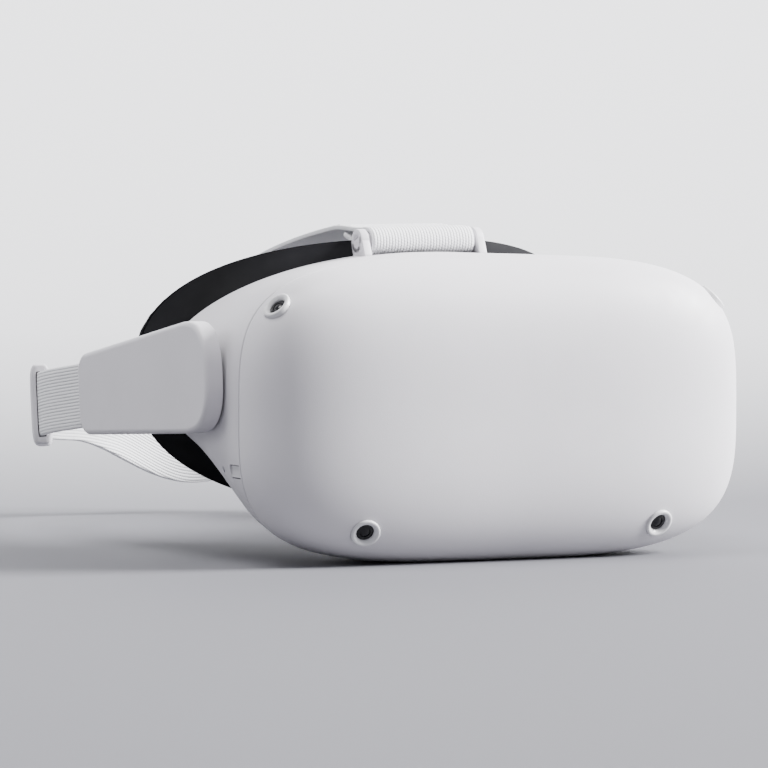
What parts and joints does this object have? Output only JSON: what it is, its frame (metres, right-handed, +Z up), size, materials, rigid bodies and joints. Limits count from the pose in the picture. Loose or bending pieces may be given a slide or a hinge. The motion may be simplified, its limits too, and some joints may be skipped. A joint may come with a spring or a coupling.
{
  "type": "virtual reality headset",
  "caption": "Wearable stereo visor with tracking cameras, sliding lens barrels, a pull-off face pad and a tilting fabric head strap.",
  "frame": {"origin": "middle of the flat rest face under the visor, just behind the seam of the front cover", "axes": "+X to the wearer's left, +Y from the front cover to the back of the head, +Z up"},
  "size_m": [0.1864, 0.2696, 0.1115],
  "materials": {
    "housing_white": "fine matte moulding texture",
    "frame_grey": "satin dark moulding",
    "pad_frame_grey": "satin dark moulding",
    "foam_charcoal": "knitted cover over soft foam",
    "strap_fabric": "tight elastic weave",
    "window_black": "polished dark window",
    "lens_clear": "clear polished lens",
    "barrel_black": "matt black moulding",
    "board_green": "circuit board",
    "chip_black": "moulded chip package",
    "screen_dark": "display glass",
    "steel": "plain steel",
    "sink_aluminium": "extruded fins",
    "battery_wrap": "plastic film",
    "light_clear": "clear light guide"
  },
  "bodies": {
    "visor": {"front_cover": "housing_white", "side_housing": "housing_white", "mid_frame": "frame_grey", "lens_plate": "barrel_black", "strap_bar": "housing_white", "camera_upper_right": "housing_white", "camera_upper_left": "housing_white", "camera_lower_right": "housing_white", "camera_lower_left": "housing_white", "camera_windows": "window_black", "display_panel": "screen_dark", "main_board": "board_green", "processor": "chip_black", "heat_sink": "sink_aluminium", "fan_housing": "chip_black", "battery_pack": "battery_wrap", "usb_socket": "steel", "headphone_socket": "frame_grey", "button_switches": "chip_black", "status_light": "light_clear", "wear_sensor": "window_black", "guide_rods": "steel", "pivot_pin_right": "steel", "pivot_pin_left": "steel", "top_strap_loop": "strap_fabric", "frame_screws": "steel", "plate_screws": "steel"},
    "fan_wheel": {"fan_rotor": "chip_black"},
    "power_key": {"power_button": "housing_white"},
    "volume_up_key": {"volume_up_button": "housing_white"},
    "volume_down_key": {"volume_down_button": "housing_white"},
    "right_lens_unit": {"lens_barrel_right": "barrel_black", "lens_right": "lens_clear"},
    "left_lens_unit": {"lens_barrel_left": "barrel_black", "lens_left": "lens_clear"},
    "face_pad": {"face_frame": "pad_frame_grey", "face_foam": "foam_charcoal"},
    "head_strap": {"arm_shell_right": "housing_white", "arm_shell_left": "housing_white", "arm_lid_right": "housing_white", "arm_lid_left": "housing_white", "speaker_right": "chip_black", "speaker_left": "chip_black", "side_strap_right": "strap_fabric", "side_strap_left": "strap_fabric", "back_strap": "strap_fabric", "top_strap": "strap_fabric", "arm_screws": "steel"},
    "right_slider": {"strap_slider_right": "housing_white"},
    "left_slider": {"strap_slider_left": "housing_white"}
  },
  "joints": [
    {"name": "head_strap_tilt", "type": "hinge", "parent": "visor", "child": "head_strap", "pos_m": [0, 0.025, 0.06], "axis": [1, 0, 0], "range_deg": [0, 30], "deforming": ["top_strap"]},
    {"name": "right_slider_shift", "type": "hinge", "parent": "head_strap", "child": "right_slider", "pos_m": [0, 0.13678, 0.04727], "axis": [0, 0.1132, 0.9936], "range_deg": [-12, 12]},
    {"name": "left_slider_shift", "type": "hinge", "parent": "head_strap", "child": "left_slider", "pos_m": [0, 0.13678, 0.04727], "axis": [0, 0.1132, 0.9936], "range_deg": [-12, 12]},
    {"name": "face_pad_pull", "type": "slide", "parent": "visor", "child": "face_pad", "axis": [0, 1, 0], "range_m": [0, 0.015]},
    {"name": "left_lens_slide", "type": "slide", "parent": "visor", "child": "left_lens_unit", "axis": [1, 0, 0], "range_m": [-0.0025, 0.0025]},
    {"name": "right_lens_slide", "type": "slide", "parent": "visor", "child": "right_lens_unit", "axis": [1, 0, 0], "range_m": [-0.0025, 0.0025]},
    {"name": "fan_spin", "type": "hinge", "parent": "visor", "child": "fan_wheel", "pos_m": [0.02, -0.0206, 0.062], "axis": [0, 1, 0], "continuous": true},
    {"name": "power_press", "type": "slide", "parent": "visor", "child": "power_key", "axis": [1, 0, 0], "range_m": [0, 0.0008], "stiffness_N_per_m": 1500, "springref_m": -0.0002},
    {"name": "volume_up_press", "type": "slide", "parent": "visor", "child": "volume_up_key", "axis": [0, 0, 1], "range_m": [0, 0.0008], "stiffness_N_per_m": 1500, "springref_m": -0.0002},
    {"name": "volume_down_press", "type": "slide", "parent": "visor", "child": "volume_down_key", "axis": [0, 0, 1], "range_m": [0, 0.0008], "stiffness_N_per_m": 1500, "springref_m": -0.0002}
  ],
  "couplings": [
    {"joint": "right_lens_slide", "follows": "left_lens_slide", "ratio": -1}
  ]
}
